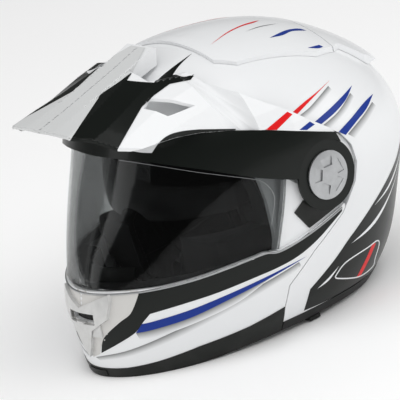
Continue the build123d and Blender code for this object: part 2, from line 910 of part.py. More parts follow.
def make_latch_catch():
    """Left catch: a hooked plate inside the flip front."""
    hook = latch_corners(
        (-9, -8), (9, -8), (9, -3.4), (-3.4, -3.4), (-3.4, 3.4), (9, 3.4), (9, 8), (-9, 8),
    )
    inside = form("shell", -shell_wall)
    return between(across(hook, 60), inside, form("shell", -shell_wall - catch_wall))


# Chin strap, fastened

strap_path = [(107.2, 44), (103.6, 33), (96, 27), (60, 23), (22, 21.5)]
strap_level = strap_path[-1][1]
rivet_z = 41
rivet_radius = 1.5
rivet_face = 103.4
buckle_front = strap_middle_y - strap_width / 2 - 2.4
buckle_rear = strap_middle_y + strap_width / 2 + 2.4
buckle_pin = (30, strap_level - 5)


def make_chin_strap():
    """Left half of the strap, from its rivet to the buckle."""
    outline = trace(Polyline(*strap_path), line_width=strap_wall)
    strap = Pos(0, strap_middle_y, 0) * extrude(Plane.XZ * outline, amount=strap_width / 2, both=True)
    return strap - disc(rivet_radius + 0.1, 90, 120, strap_middle_y, rivet_z)


def make_strap_rivets():
    """Rivet at the upper end of each half of the strap."""
    head = disc(5, rivet_face - 1.6, rivet_face, strap_middle_y, rivet_z)
    shank = disc(rivet_radius, rivet_face - 1, 120, strap_middle_y, rivet_z)
    return both(head + (shank & form("shell", -shell_wall - 0.02)))


def bar_along_y(radius, x, z, start, end):
    """Round bar along Y."""
    return Pos(x, (start + end) / 2, z) * Rot(90, 0, 0) * Cylinder(radius, end - start)


def make_buckle_body():
    """Channel that holds the ladder, with the lever's pin across it."""
    top = strap_level + 2
    body = block((0, 34), (buckle_front, buckle_rear), (top, top + 1.4))
    for y in (buckle_front, buckle_rear - 2):
        body += block((0, 34), (y, y + 2), (strap_level - 7, top + 1.4))
    return body + bar_along_y(1.2, *buckle_pin, buckle_front, buckle_rear)


def make_buckle_ladder():
    """Toothed tongue on the right half of the strap."""
    low, high = strap_level - 1, strap_level + 0.6
    teeth = [(-12 + 3 * k, low) for k in range(11)]
    edge = [(-21.7, high), (-21.7, low)]
    for x, z in teeth:
        edge += [(x, z), (x + 0.4, z - 1.2)]
    edge += [(20, low), (20, high)]
    tongue = extrude(Plane.XZ * make_face(Polyline(*edge, close=True)), amount=7, both=True)
    return Pos(0, strap_middle_y, 0) * tongue


def make_buckle_lever():
    """Lever that releases the ladder."""
    x, z = buckle_pin
    front_y, rear_y = buckle_front + 2.4, buckle_rear - 2.4
    lever = block((3, x), (front_y, rear_y), (z - 2.6, z - 1))
    lever += bar_along_y(2.6, x, z, front_y, rear_y)
    return lever - bar_along_y(1.2 + hub_gap, x, z, front_y - 1, rear_y + 1)


pairs = {
    "cheek_pad": make_cheek_pad,
    "pivot_base": make_pivot_base,
    "pivot_cap": make_pivot_cap,
    "arm_cover": make_arm_cover,
    "striker": make_striker,
    "latch_catch": make_latch_catch,
    "chin_strap": make_chin_strap,
}
pieces = {
    "outer_shell": make_outer_shell,
    "rim_trim": make_rim_trim,
    "eyeport_gasket": make_eyeport_gasket,
    "eps_liner": make_eps_liner,
    "comfort_liner": make_comfort_liner,
    "neck_roll": make_neck_roll,
    "crown_fairing": make_crown_fairing,
    "rear_spoiler": make_rear_spoiler,
    "rear_vent_grille": make_rear_vent_grille,
    "pivot_screws": make_pivot_screws,
    "chin_bar": make_chin_bar,
    "chin_trim": make_chin_trim,
    "chin_bar_liner": make_chin_bar_liner,
    "breath_guard": make_breath_guard,
    "chin_curtain": make_chin_curtain,
    "visor_seal": make_visor_seal,
    "chin_vent_housing": make_chin_vent_housing,
    "chin_vent_shutter": make_chin_vent_shutter,
    "visor_shield": make_visor_shield,
    "peak_frame": make_peak_frame,
    "peak": make_peak,
    "sun_visor": make_sun_visor,
    "sun_visor_pins": make_sun_pins,
    "sun_visor_lever": make_sun_visor_lever,
    "release_button": make_release_button,
    "release_housing": make_release_housing,
    "strap_rivets": make_strap_rivets,
    "buckle_body": make_buckle_body,
    "buckle_ladder": make_buckle_ladder,
    "buckle_lever": make_buckle_lever,
}

for name, make in pieces.items():
    export_step(make(), f"parts/{name}.step")
for name, make in pairs.items():
    left = make()
    export_step(left, f"parts/{name}_left.step")
    export_step(left.mirror(Plane.YZ), f"parts/{name}_right.step")
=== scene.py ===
import json
from math import atan2, cos, degrees, exp, hypot, pi, radians, sin
import bmesh
import bpy
from mathutils import Matrix, Vector, geometry, interpolate
from mathutils.bvhtree import BVHTree

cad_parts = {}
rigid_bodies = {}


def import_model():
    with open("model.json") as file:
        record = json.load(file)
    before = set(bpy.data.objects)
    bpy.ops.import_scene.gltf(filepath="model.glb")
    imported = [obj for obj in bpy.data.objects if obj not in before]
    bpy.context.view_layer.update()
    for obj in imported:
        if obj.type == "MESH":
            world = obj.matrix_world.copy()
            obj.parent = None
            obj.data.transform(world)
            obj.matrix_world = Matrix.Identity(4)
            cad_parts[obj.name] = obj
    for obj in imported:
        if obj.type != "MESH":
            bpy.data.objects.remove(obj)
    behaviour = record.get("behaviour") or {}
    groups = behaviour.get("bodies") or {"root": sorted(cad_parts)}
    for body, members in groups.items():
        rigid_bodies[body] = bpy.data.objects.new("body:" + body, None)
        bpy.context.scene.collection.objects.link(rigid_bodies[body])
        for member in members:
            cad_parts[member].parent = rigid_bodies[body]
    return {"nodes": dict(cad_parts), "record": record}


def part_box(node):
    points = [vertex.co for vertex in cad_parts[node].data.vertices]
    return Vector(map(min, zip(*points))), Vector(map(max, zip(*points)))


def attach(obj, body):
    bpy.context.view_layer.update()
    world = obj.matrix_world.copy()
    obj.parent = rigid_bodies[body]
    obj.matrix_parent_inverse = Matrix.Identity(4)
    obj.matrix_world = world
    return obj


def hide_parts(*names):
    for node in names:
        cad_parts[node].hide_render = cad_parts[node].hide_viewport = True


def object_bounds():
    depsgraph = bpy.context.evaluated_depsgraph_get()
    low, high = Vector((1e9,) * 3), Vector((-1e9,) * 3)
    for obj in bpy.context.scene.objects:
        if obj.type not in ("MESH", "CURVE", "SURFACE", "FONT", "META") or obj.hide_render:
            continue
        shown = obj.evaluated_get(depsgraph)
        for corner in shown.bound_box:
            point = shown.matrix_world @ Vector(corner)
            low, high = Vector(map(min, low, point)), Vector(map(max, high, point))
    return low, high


# Flip-front helmet: finishes, paint graphics, lining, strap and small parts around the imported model.
# Metres, +Z up, the wearer faces -Y, the wearer's left is +X.

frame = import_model()
nodes = frame["nodes"]
cadLow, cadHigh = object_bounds()
mm = 0.001
print("frame loaded,", len(nodes), "nodes")

# Camera at the photograph's angle; the target lands on its own pixel of the 400 x 400 picture

shot = {
    "azimuth": 54.906, "elevation": 17.968, "roll": 12.381, "distance": 2.5,
    "target": (0, 0, 0.139), "lands": (215.35, 158.87), "pixelsPerMetre": 1126.2, "picture": 400,
}


def aim():
    a, e, r = (radians(shot[key]) for key in ("azimuth", "elevation", "roll"))
    back = Vector((sin(a) * cos(e), -cos(a) * cos(e), sin(e)))
    level = Vector((cos(a), sin(a), 0))
    upright = back.cross(level)
    right = level * cos(r) - upright * sin(r)
    top = level * sin(r) + upright * cos(r)
    eye = Vector(shot["target"]) + back * shot["distance"]
    u, v = shot["lands"]
    half = shot["picture"] / 2
    look = right * ((half - u) / shot["pixelsPerMetre"]) + top * ((v - half) / shot["pixelsPerMetre"])
    back = (back * shot["distance"] - look).normalized()
    right = (right - back * right.dot(back)).normalized()
    return eye, right, back.cross(right), back


eye, camRight, camTop, camBack = aim()
reach = shot["distance"] * shot["pixelsPerMetre"]


def pixelRay(u, v):
    half = shot["picture"] / 2
    return (camRight * (u - half) + camTop * (half - v) - camBack * reach).normalized()


def pixelOf(x, y, z):
    away = Vector((x, y, z)) * mm - eye
    depth = -away.dot(camBack)
    half = shot["picture"] / 2
    return half + away.dot(camRight) / depth * reach, half - away.dot(camTop) / depth * reach


cameraData = bpy.data.cameras.new("shot")
cameraData.sensor_width = 36
cameraData.lens = 36 * reach / shot["picture"]
cameraData.clip_end = 50
camera = bpy.data.objects.new("shot", cameraData)
bpy.context.collection.objects.link(camera)
camera.matrix_world = Matrix([
    (camRight.x, camTop.x, camBack.x, eye.x), (camRight.y, camTop.y, camBack.y, eye.y),
    (camRight.z, camTop.z, camBack.z, eye.z), (0, 0, 0, 1),
])
bpy.context.scene.camera = camera
print("camera set")


# A socket that adds maths nodes when it is used in an expression
class Sock:
    def __init__(self, mat, socket):
        self.mat, self.socket = mat, socket

    def maths(self, operation, *values):
        return self.mat.add("ShaderNodeMath", {"operation": operation}, dict(enumerate(values)))

    def __add__(self, other):
        return self.maths("ADD", self, other)

    def __radd__(self, other):
        return self.maths("ADD", other, self)

    def __sub__(self, other):
        return self.maths("SUBTRACT", self, other)

    def __rsub__(self, other):
        return self.maths("SUBTRACT", other, self)

    def __mul__(self, other):
        return self.maths("MULTIPLY", self, other)

    def __rmul__(self, other):
        return self.maths("MULTIPLY", other, self)

    def __gt__(self, other):
        return self.maths("GREATER_THAN", self, other)


# One node material round a principled shader
class Mat:
    def __init__(self, name, **values):
        self.material = bpy.data.materials.new(name)
        self.material.use_nodes = True
        self.tree = self.material.node_tree
        self.shader = self.tree.nodes["Principled BSDF"]
        self.coords = self.tree.nodes.new("ShaderNodeTexCoord").outputs["Object"]
        for label, value in values.items():
            self.put(label.replace("_", " "), value)

    def add(self, kind, settings=None, inputs=None, output=0):
        node = self.tree.nodes.new(kind)
        for key, value in (settings or {}).items():
            setattr(node, key, value)
        for key, value in (inputs or {}).items():
            self.feed(node.inputs[key], value)
        return Sock(self, node.outputs[output])

    def feed(self, socket, value):
        if isinstance(value, Sock):
            self.tree.links.new(value.socket, socket)
        elif isinstance(value, bpy.types.NodeSocket):
            self.tree.links.new(value, socket)
        else:
            socket.default_value = value

    def put(self, label, value):
        self.feed(self.shader.inputs[label], value)

    def noise(self, scale, detail=3.0):
        return self.add("ShaderNodeTexNoise", None, {"Vector": self.coords, "Scale": scale, "Detail": detail})

    def blend(self, factor, first, second):
        return self.add("ShaderNodeMix", {"data_type": "RGBA"}, {0: factor, 6: first, 7: second}, 2)

    def steep(self, value, low, high):
        return self.add("ShaderNodeMapRange", {"clamp": True}, {0: value, 1: low, 2: high, 3: 0.0, 4: 1.0})

    def bump(self, height, strength, distance):
        self.put("Normal", self.add("ShaderNodeBump", None, {
            "Height": height, "Strength": strength, "Distance": distance}))
        return self.material


def rgb(r, g, b):
    return (r, g, b, 1.0)


lacquer = {"roughness": 0.27, "spread": 0.08, "peel": 240.0, "peelHeight": 0.00003, "coat": 0.2}


# Lacquered paint with a faint orange peel and an uneven gloss
def paint(name, colour, second, coat=lacquer["coat"], shine=0.5):
    mat = Mat(name, Coat_Weight=coat, Coat_Roughness=0.05, Specular_IOR_Level=shine)
    mat.put("Base Color", mat.blend(mat.noise(7.0, 2.0), rgb(*colour), rgb(*second)))
    mat.put("Roughness", lacquer["roughness"] + lacquer["spread"] * mat.noise(30.0, 4.0))
    return mat.bump(mat.noise(lacquer["peel"], 2.0), 0.2, lacquer["peelHeight"])


# Paint that fades from one colour to another by the piece's own attribute
def fadedPaint(name, colour, second):
    mat = Mat(name, Coat_Weight=lacquer["coat"], Coat_Roughness=0.05)
    fade = mat.add("ShaderNodeAttribute", {"attribute_name": "fade"}, None, 2)
    mat.put("Base Color", mat.blend(fade, rgb(*colour), rgb(*second)))
    mat.put("Roughness", lacquer["roughness"] + lacquer["spread"] * mat.noise(30.0, 4.0))
    return mat.bump(mat.noise(lacquer["peel"], 2.0), 0.2, lacquer["peelHeight"])


# Moulded plastic or rubber: fine grain, a little dust in it
def moulded(name, colour, roughness, grain, height):
    mat = Mat(name, Specular_IOR_Level=0.22)
    dusty = [c * 1.5 + 0.004 for c in colour]
    mat.put("Base Color", mat.blend(mat.steep(mat.noise(45.0, 5.0), 0.45, 0.75), rgb(*colour), rgb(*dusty)))
    mat.put("Roughness", roughness + 0.14 * mat.noise(60.0, 3.0))
    return mat.bump(mat.noise(grain, 3.0), 0.6, height)


# Knitted or woven cloth: crossed rows of thread and a soft sheen
def cloth(name, colour, threads, height):
    mat = Mat(name, Sheen_Weight=0.12, Sheen_Roughness=0.5, Specular_IOR_Level=0.12)
    rows = [
        mat.add("ShaderNodeTexWave", {"bands_direction": axis, "wave_profile": "SIN"}, {
            "Vector": mat.coords, "Scale": threads, "Distortion": 0.8, "Detail": 1.0}, 1)
        for axis in ("Y", "Z")
    ]
    weave = rows[0] * 0.5 + rows[1] * 0.5
    light = [min(c * 2.1, 1) for c in colour]
    mat.put("Base Color", mat.blend(weave * mat.noise(50.0), rgb(*colour), rgb(*light)))
    mat.put("Roughness", 0.78 + 0.18 * mat.noise(90.0))
    return mat.bump(weave, 0.8, height)


# Plated steel or metallised plastic with fine brushing
def metal(name, colour, roughness, grain, metallic=0.9):
    mat = Mat(name, Metallic=metallic)
    deeper = [c * 0.72 for c in colour]
    mat.put("Base Color", mat.blend(mat.noise(140.0, 4.0), rgb(*colour), rgb(*deeper)))
    mat.put("Roughness", roughness + 0.16 * mat.noise(grain, 4.0))
    return mat.bump(mat.noise(grain * 2, 3.0), 0.35, 0.00003)


# Packed foam beads
def beads(name, colour):
    mat = Mat(name, Specular_IOR_Level=0.3)
    cells = mat.add("ShaderNodeTexVoronoi", None, {"Vector": mat.coords, "Scale": 300.0}, 0)
    light = [c * 2.0 for c in colour]
    mat.put("Base Color", mat.blend(cells, rgb(*light), rgb(*colour)))
    mat.put("Roughness", 0.7 + 0.2 * mat.noise(80.0))
    return mat.bump(cells, 0.6, 0.0005)


# Thin clear or smoked shield: tinted see-through under a glossy skin
def seeThrough(name, tint, haze, index):
    mat = Mat(name)
    clear = mat.add("ShaderNodeBsdfTransparent", None, {"Color": rgb(*tint)})
    shine = mat.add("ShaderNodeBsdfGlossy", None, {
        "Color": rgb(1, 1, 1), "Roughness": haze + 0.02 * mat.noise(40.0)})
    edge = mat.add("ShaderNodeFresnel", None, {"IOR": index})
    skin = mat.add("ShaderNodeMixShader", None, {0: edge * 0.6, 1: clear, 2: shine})
    mat.tree.links.new(skin.socket, mat.tree.nodes["Material Output"].inputs["Surface"])
    mat.tree.nodes.remove(mat.shader)
    return mat.material


white = paint("white_lacquer", (0.80, 0.81, 0.82), (0.77, 0.78, 0.79))
black = paint("black_lacquer", (0.003, 0.0045, 0.0035), (0.006, 0.008, 0.0065), 0.12, 0.2)
silverPearl = paint("silver_pearl", (0.62, 0.61, 0.59), (0.56, 0.55, 0.53), 0.3, 0.6)
red = paint("red_paint", (0.74, 0.006, 0.008), (0.64, 0.005, 0.007), 0.08, 0.2)
blue = paint("blue_paint", (0.006, 0.035, 0.28), (0.005, 0.028, 0.22), 0.08, 0.2)
shadow = fadedPaint("shadow_paint", (0.79, 0.80, 0.81), (0.16, 0.165, 0.165))
# pale grey of the peak's middle: partly grey paint, partly painted shade of the peak's far half
paleGreyAndShade = paint("pale_grey_paint_and_shade", (0.65, 0.66, 0.66), (0.61, 0.62, 0.62))
blackGrain = moulded("black_grain", (0.010, 0.011, 0.010), 0.3, 900.0, 0.00006)
rubber = moulded("soft_rubber", (0.013, 0.013, 0.013), 0.45, 500.0, 0.00008)
greyPlastic = moulded("grey_plastic", (0.12, 0.12, 0.125), 0.4, 600.0, 0.00006)
redPlastic = moulded("red_plastic", (0.5, 0.02, 0.015), 0.35, 700.0, 0.00005)
foam = beads("bead_foam", (0.02, 0.02, 0.02))
lining = cloth("lining_knit", (0.012, 0.0125, 0.013), 420.0, 0.0003)
webbing = cloth("strap_weave", (0.010, 0.010, 0.011), 300.0, 0.0004)
silver = metal("silver_disc", (0.55, 0.56, 0.57), 0.3, 500.0)
steel = metal("plated_steel", (0.6, 0.6, 0.59), 0.25, 300.0)
silverPaint = metal("silver_white_paint", (0.72, 0.72, 0.71), 0.28, 700.0, 0.35)
clearShield = seeThrough("clear_shield", (0.70, 0.71, 0.71), 0.03, 1.3)
smokeLens = seeThrough("smoke_lens", (0.10, 0.11, 0.11), 0.03, 1.4)

finishes = {
    "shell_paint": white, "black_gloss": black, "black_matte": blackGrain, "rubber": rubber,
    "clear_shield": clearShield, "tinted_lens": smokeLens, "silver": silver, "grey_plastic": greyPlastic,
    "foam": foam, "lining": lining, "webbing": webbing, "steel": steel, "buckle_black": blackGrain,
    "buckle_red": redPlastic,
}
ownFinish = {"chin_vent_housing": silverPaint, "chin_vent_shutter": silverPaint}
for part in frame["record"]["subparts"]:
    node = nodes[part["node"]]
    for index in range(len(node.data.materials)):
        node.data.materials[index] = ownFinish.get(part["node"], finishes[part["material_slot"]])
print("finishes on")


def newPiece(name, verts, faces, finish, body, smooth=True):
    mesh = bpy.data.meshes.new(name)
    mesh.from_pydata(verts, [], faces)
    mesh.update()
    for polygon in mesh.polygons:
        polygon.use_smooth = smooth
    mesh.materials.append(finish)
    piece = bpy.data.objects.new(name, mesh)
    bpy.context.collection.objects.link(piece)
    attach(piece, body)
    return piece


# Surface of one node, with its own smooth normals
class Surface:
    def __init__(self, name):
        self.mesh = nodes[name].data
        self.verts = [v.co.copy() for v in self.mesh.vertices]
        self.faces = [tuple(p.vertices) for p in self.mesh.polygons]
        self.corners = [[self.mesh.corner_normals[i].vector.copy() for i in p.loop_indices]
                        for p in self.mesh.polygons]
        self.tree = BVHTree.FromPolygons(self.verts, self.faces)

    def hit(self, start, way):
        place, flat, index, far = self.tree.ray_cast(start, way)
        if place is None or flat.dot(way) > 0:
            return None
        corners = [self.verts[i] for i in self.faces[index]]
        shares = interpolate.poly_3d_calc(corners, place)
        normal = sum((n * s for n, s in zip(self.corners[index], shares)), Vector())
        return place, normal.normalized(), far


surfaces = {}


def nearestHit(names, start, way):
    best = None
    for name in names:
        if name not in surfaces:
            surfaces[name] = Surface(name)
        found = surfaces[name].hit(start, way)
        if found and (best is None or found[2] < best[2]):
            best = found
    return best


# Smooth line through a run of points; the ends stay sharp
def flowing(run, parts=6):
    if len(run) < 3:
        return list(run)
    line = []
    for i in range(len(run) - 1):
        p0, p1, p2, p3 = run[max(i - 1, 0)], run[i], run[i + 1], run[min(i + 2, len(run) - 1)]
        for k in range(parts):
            t = k / parts
            line.append(tuple(
                0.5 * (2 * b + (c - a) * t + (2 * a - 5 * b + 4 * c - d) * t * t
                       + (3 * b - a - 3 * c + d) * t ** 3)
                for a, b, c, d in zip(p0, p1, p2, p3)))
    return line + [tuple(run[-1])]


def inside(point, outline):
    x, y = point
    odd = False
    for (ax, ay), (bx, by) in zip(outline, outline[1:] + outline[:1]):
        if (ay > y) != (by > y) and x < (bx - ax) * (y - ay) / (by - ay) + ax:
            odd = not odd
    return odd


def nearness(point, line):
    best = 1e9
    p = Vector(point)
    for a, b in zip(line, line[1:]):
        a, b = Vector(a), Vector(b)
        way = b - a
        t = max(0, min(1, (p - a).dot(way) / max(way.length_squared, 1e-12)))
        best = min(best, (a + way * t - p).length)
    return best


# Mesh step and reach to an edge in photo pixels or millimetres, stand-off in millimetres,
# then shares of the step: clear strip inside the outline and longest side of a kept triangle
filmSize = {"step": 2.4, "rise": 0.16, "edge": 3.0, "inset": 0.45, "longest": 7}
roundAxis = 0.02    # where the axis of the "round" view crosses the middle plane
rayStart = 0.3      # rays towards the helmet start this far out


# Nearest place of a view's point on the nodes; a point just past an edge comes back to it
def laidOn(names, point, view):
    shifts = [(0, 0)]
    for ring in (0.25, 0.5, 0.75, 1):
        away = filmSize["edge"] * ring
        shifts += [(away * cos(pi * k / 6), away * sin(pi * k / 6)) for k in range(12)]
    for right, up in shifts:
        u, v = point[0] + right, point[1] + up
        if view == "photo":
            found = nearestHit(names, eye, pixelRay(u, v))
        elif view == "side":
            found = nearestHit(names, Vector((rayStart, u * mm, v * mm)), Vector((-1, 0, 0)))
        else:
            out = Vector((sin(radians(u / 2)), cos(radians(u / 2)), 0))
            found = nearestHit(names, Vector((0, roundAxis, v * mm)) + out * rayStart, -out)
        if found:
            return found
    return None


# Thin film of paint laid on nodes, on both sides of the helmet. Each run is a smooth line of
# corners in one view: "photo" takes pixels of the picture, "side" takes (y, z) in millimetres, and
# "round" takes half degrees from the middle of the back, about a millimetre each, and z.
def film(name, runs, on, finish, body, view="photo", fade=None, step=None, rise=None):
    step = step or filmSize["step"]
    rise = (rise or filmSize["rise"]) * mm
    flat = [[pixelOf(*p) if len(p) == 3 else p for p in run] for run in runs]
    outline = []
    for run in flat:
        line = flowing(run)
        outline += line[:-1]
    fine = []
    for (ax, ay), (bx, by) in zip(outline, outline[1:] + outline[:1]):
        count = max(1, int(hypot(bx - ax, by - ay) / step))
        fine += [(ax + (bx - ax) * k / count, ay + (by - ay) * k / count) for k in range(count)]
    points = [Vector(p) for p in fine]
    edges = [(i, (i + 1) % len(fine)) for i in range(len(fine))]
    lowX, highX = min(p[0] for p in fine), max(p[0] for p in fine)
    lowY, highY = min(p[1] for p in fine), max(p[1] for p in fine)
    closed = fine + fine[:1]
    across, down = int((highX - lowX) / step), int((highY - lowY) / step)
    for i in range(1, across + 1):
        for j in range(1, down + 1):
            p = (lowX + i * step + (j % 2) * step / 2, lowY + j * step)
            if inside(p, fine) and nearness(p, closed) > step * filmSize["inset"]:
                points.append(Vector(p))
    verts, _, faces = geometry.delaunay_2d_cdt(points, edges, [], 1, 1e-5)[:3]
    places, normals = [], []
    for p in verts:
        found = laidOn(on, p, view)
        places.append(found[0] + found[1] * rise if found else None)
        normals.append(found[1] if found else None)
    longest = step * mm * filmSize["longest"]
    kept = []
    for face in faces:
        if any(places[i] is None for i in face):
            continue
        if any((places[i] - places[j]).length > longest for i, j in zip(face, face[1:] + face[:1])):
            continue
        a, b, c = (places[i] for i in face[:3])
        if a.x + b.x + c.x < 0:
            continue
        kept.append(tuple(face) if (b - a).cross(c - a).dot(normals[face[0]]) > 0 else tuple(reversed(face)))
    used = sorted({i for face in kept for i in face})
    for i in used:
        places[i].x = max(places[i].x, 0)
    renumber = {old: new for new, old in enumerate(used)}
    left = [places[i] for i in used]
    size = len(left)
    allVerts = left + [Vector((-p.x, p.y, p.z)) for p in left]
    allFaces = [tuple(renumber[i] for i in face) for face in kept]
    allFaces += [tuple(size + i for i in reversed(face)) for face in allFaces]
    piece = newPiece(name, allVerts, allFaces, finish, body)
    own = [normals[i] for i in used]
    piece.data.normals_split_custom_set_from_vertices(own + [Vector((-n.x, n.y, n.z)) for n in own])
    if fade:
        strong, weak = (flowing([pixelOf(*p) if len(p) == 3 else p for p in run]) for run in fade)
        shade = piece.data.attributes.new("fade", "FLOAT", "POINT")
        values = []
        for i in used:
            near, away = nearness(verts[i], strong), nearness(verts[i], weak)
            values.append(away / max(near + away, 1e-9))
        shade.data.foreach_set("value", values * 2)
    return piece


# Graphics on the flip front: black band under the silver line, blue sweep, soft shadows
chinTop = [(54, -145, 79), (70, -129, 80), (89, -105, 82), (105, -77, 85.5), (115, -52, 88), (119, -39, 85)]
chinTail = [(119, -39, 85), (123, -18, 88), (125.5, 8, 95), (127, 34, 102)]
chinGraphics = {
    "band": [
        chinTop, chinTail,
        [(342, 211), (320, 237), (301, 254), (281, 266), (255, 277.5), (217, 293), (178.5, 305.5),
         (150, 314)],
        [(150, 314), (143, 322.5), (135, 333), (118, 344), (101.5, 353)],
        [(101.5, 353), (104, 338), (119, 323), (131, 313), (139, 293)],
    ],
    "front": [
        [(62, 277), (66, 272), (95, 276), (120, 284), (139, 291.5)], [(139, 291.5), (134, 311), (118, 326)],
        [(118, 326), (103, 343), (100.5, 354)], [(100.5, 354), (92, 357), (86, 356)],
        [(86, 356), (76, 338), (69, 316), (63, 286), (62, 277)],
    ],
    "sweep": [
        [(307, 256), (270, 275), (230, 293.5), (190, 310), (155, 321), (142, 324)],
        [(142, 324), (136, 333)],
        [(136, 333), (152, 330), (190, 318), (230, 299), (270, 278), (307, 256)],
    ],
    "sweepShade": [
        [(136, 333), (152, 330), (190, 318), (230, 299), (270, 278)],
        [(270, 278), (240, 301), (200, 321), (160, 336), (138, 340)],
    ],
    "lowShade": [
        [(96, 357), (130, 350), (175, 331), (230, 302), (275, 277), (299, 262)],
        [(299, 262), (299, 268), (276, 284), (232, 310), (178, 338), (132, 356), (97, 361)],
    ],
}
film("chin_band_black", chinGraphics["band"], ["chin_bar"], black, "flip_front")
film("chin_front_silver", chinGraphics["front"], ["chin_bar"], silverPearl, "flip_front", rise=0.13)
film("chin_sweep_blue", chinGraphics["sweep"], ["chin_bar"], blue, "flip_front", rise=0.24)
film("chin_sweep_shade", chinGraphics["sweepShade"], ["chin_bar"], shadow, "flip_front", rise=0.2,
     fade=chinGraphics["sweepShade"][:2])
film("chin_low_shade", chinGraphics["lowShade"], ["chin_bar"], shadow, "flip_front", rise=0.1,
     fade=(chinGraphics["lowShade"][0], chinGraphics["lowShade"][1][1:]))

# Graphics on the peak: black bands each side of the grey middle, partly grey paint and partly painted shade;
# the lip has the two pixels on the front edge where grey meets black and black meets white
peakGraphics = {
    "lip": [(69.5, 137), (117.2, 148.5)], "lipDepth": 0.004,
    "corner": [
        [(154, 150.5), (158.5, 143.5), (162.2, 139.6), (166.5, 136.4), (173, 133.4), (184, 130.9),
         (199, 129.4)],
        [(199, 129.4), (236, 128.9)], [(236, 128.9), (236, 133)],
        [(236, 133), (205, 135), (180, 140), (160, 147)], [(160, 147), (154, 150.5)],
    ],
    "rear": [
        [(153.1, 84), (157.6, 78.6)], [(157.6, 78.6), (176, 74.8)], [(176, 74.8), (184, 77), (195.2, 74.2)],
        [(195.2, 74.2), (190.6, 80)], [(190.6, 80), (169.1, 84.3)], [(169.1, 84.3), (153.1, 84)],
    ],
    "cheek": [
        [(132, 149), (160, 141), (185, 133), (204, 130)],
        [(204, 130), (190, 130.6), (176, 132.6), (165, 137)], [(165, 137), (158, 144), (152, 153)],
        [(152, 153), (142, 152.6), (132, 151)], [(132, 151), (132, 149)],
    ],
    "band": [
        [(69.5, 141.5), (98.2, 98.9)], [(98.2, 98.9), (101.7, 94), (119.3, 82.1), (132.6, 72.3)],
        [(132.6, 72.3), (127, 80.7)], [(127, 80.7), (140, 82), (155, 83)], [(155, 83), (170, 84)],
        [(170, 84), (154.3, 95.4)], [(154.3, 95.4), (141.7, 107.4)], [(141.7, 107.4), (115.5, 153)],
        [(115.5, 153), (89.8, 146.5), (69.5, 141.5)],
    ],
    "middle": [
        [(2, 130), (28, 115.8), (67.3, 89.1), (92.6, 71.6), (127.7, 45.6)], [(127.7, 45.6), (145.5, 48)],
        [(145.5, 48), (132, 72)], [(132, 72), (119.3, 82.1), (101.7, 94), (98.2, 98.9)],
        [(98.2, 98.9), (69.5, 141.5)], [(69.5, 141.5), (42, 135.5), (14, 131.5), (2, 132)],
    ],
}


# Peak's own paint: its front lip carries on the colours of the films above it, its grey partly painted shade
def lipPaint(name):
    mat = Mat(name, Coat_Weight=lacquer["coat"], Coat_Roughness=0.05)
    corners = [laidOn(["peak"], pixel, "photo")[0] for pixel in peakGraphics["lip"]]
    across = mat.add("ShaderNodeSeparateXYZ", None, {0: mat.coords})
    across = across.maths("ABSOLUTE", across)
    deep = mat.add("ShaderNodeSeparateXYZ", None, {0: mat.coords}, 1)
    ahead = deep.maths("LESS_THAN", deep, corners[1].y + peakGraphics["lipDepth"])
    # the grey of the lip's middle is partly painted shade
    striped = mat.blend(across > corners[0].x, rgb(0.63, 0.64, 0.64), rgb(0.004, 0.006, 0.005))
    lip = ahead * (1 - (across > corners[1].x))
    mat.put("Base Color", mat.blend(lip, rgb(0.80, 0.81, 0.82), striped))
    mat.put("Roughness", lacquer["roughness"] + lacquer["spread"] * mat.noise(30.0, 4.0))
    return mat.bump(mat.noise(lacquer["peel"], 2.0), 0.2, lacquer["peelHeight"])


nodes["peak"].data.materials[0] = lipPaint("peak_lacquer")
film("peak_band_black", peakGraphics["band"], ["peak"], black, "visor", step=1.7, rise=0.4)
film("peak_corner_black", peakGraphics["corner"], ["peak"], black, "visor", step=1.7, rise=0.3)
film("peak_rear_black", peakGraphics["rear"], ["peak"], black, "visor", step=1.4, rise=0.3)
# middle of the peak in pale grey, partly painted shade of its far half
film("peak_middle_grey_and_shade", peakGraphics["middle"], ["peak"], paleGreyAndShade, "visor", step=1.7, rise=0.4)
film("peak_cheek_white", peakGraphics["cheek"], ["peak_frame"], white, "visor", step=1.7, rise=0.3)

# Graphics on the shell: tapered stripes with soft shadows, black wedge, rear panel
shellStripes = {
    "stripe_red": (red, [
        [(330.1, 79.7), (317.5, 91.4), (303.5, 102.6), (290.1, 114.4)], [(290.1, 114.4), (295.8, 115.6)],
        [(295.8, 115.6), (306.3, 104.6), (320.3, 90), (330.1, 79.7)]]),
    "stripe_blue_front": (blue, [
        [(352, 85.3), (342.8, 95.6), (328.7, 109.6), (312.6, 123.7)], [(312.6, 123.7), (318.9, 126)],
        [(318.9, 126), (334.3, 113.1), (345.6, 99.8), (352, 85.3)]]),
    "stripe_blue_rear": (blue, [
        [(372.9, 93.9), (363.8, 102.6), (351.2, 118), (338.6, 131.8)], [(338.6, 131.8), (345.6, 135)],
        [(345.6, 135), (356.8, 120.8), (366.6, 108.2), (372.9, 93.9)]]),
    "stripe_top_red": (red, [
        [(210.2, 45.1), (226.3, 32.9), (240.3, 25.8), (253, 21.8), (259, 20.6)],
        [(259, 20.6), (253, 23), (240.3, 26.9), (226.3, 33.9), (210.2, 45.1)]]),
    "stripe_top_grey": (greyPlastic, [
        [(245.2, 31.7), (260, 26.4), (278, 23.6)], [(278, 23.6), (260, 27), (245.2, 31.7)]]),
    "stripe_top_blue": (blue, [
        [(269.8, 37.8), (285.2, 30.6), (297.9, 28.7), (306.3, 30.6)],
        [(306.3, 30.6), (292.2, 31.2), (282.4, 35.3), (269.8, 37.8)]]),
    "stripe_top_blue_small": (blue, [
        [(307.7, 47.9), (318.9, 45)], [(318.9, 45), (323.1, 46.8)],
        [(323.1, 46.8), (318.2, 48.3), (307.7, 47.9)]]),
}
roof = ["outer_shell", "crown_fairing", "rear_spoiler"]
for name, (finish, runs) in shellStripes.items():
    film(name, runs, roof, finish, "root", step=1.6, rise=0.22)
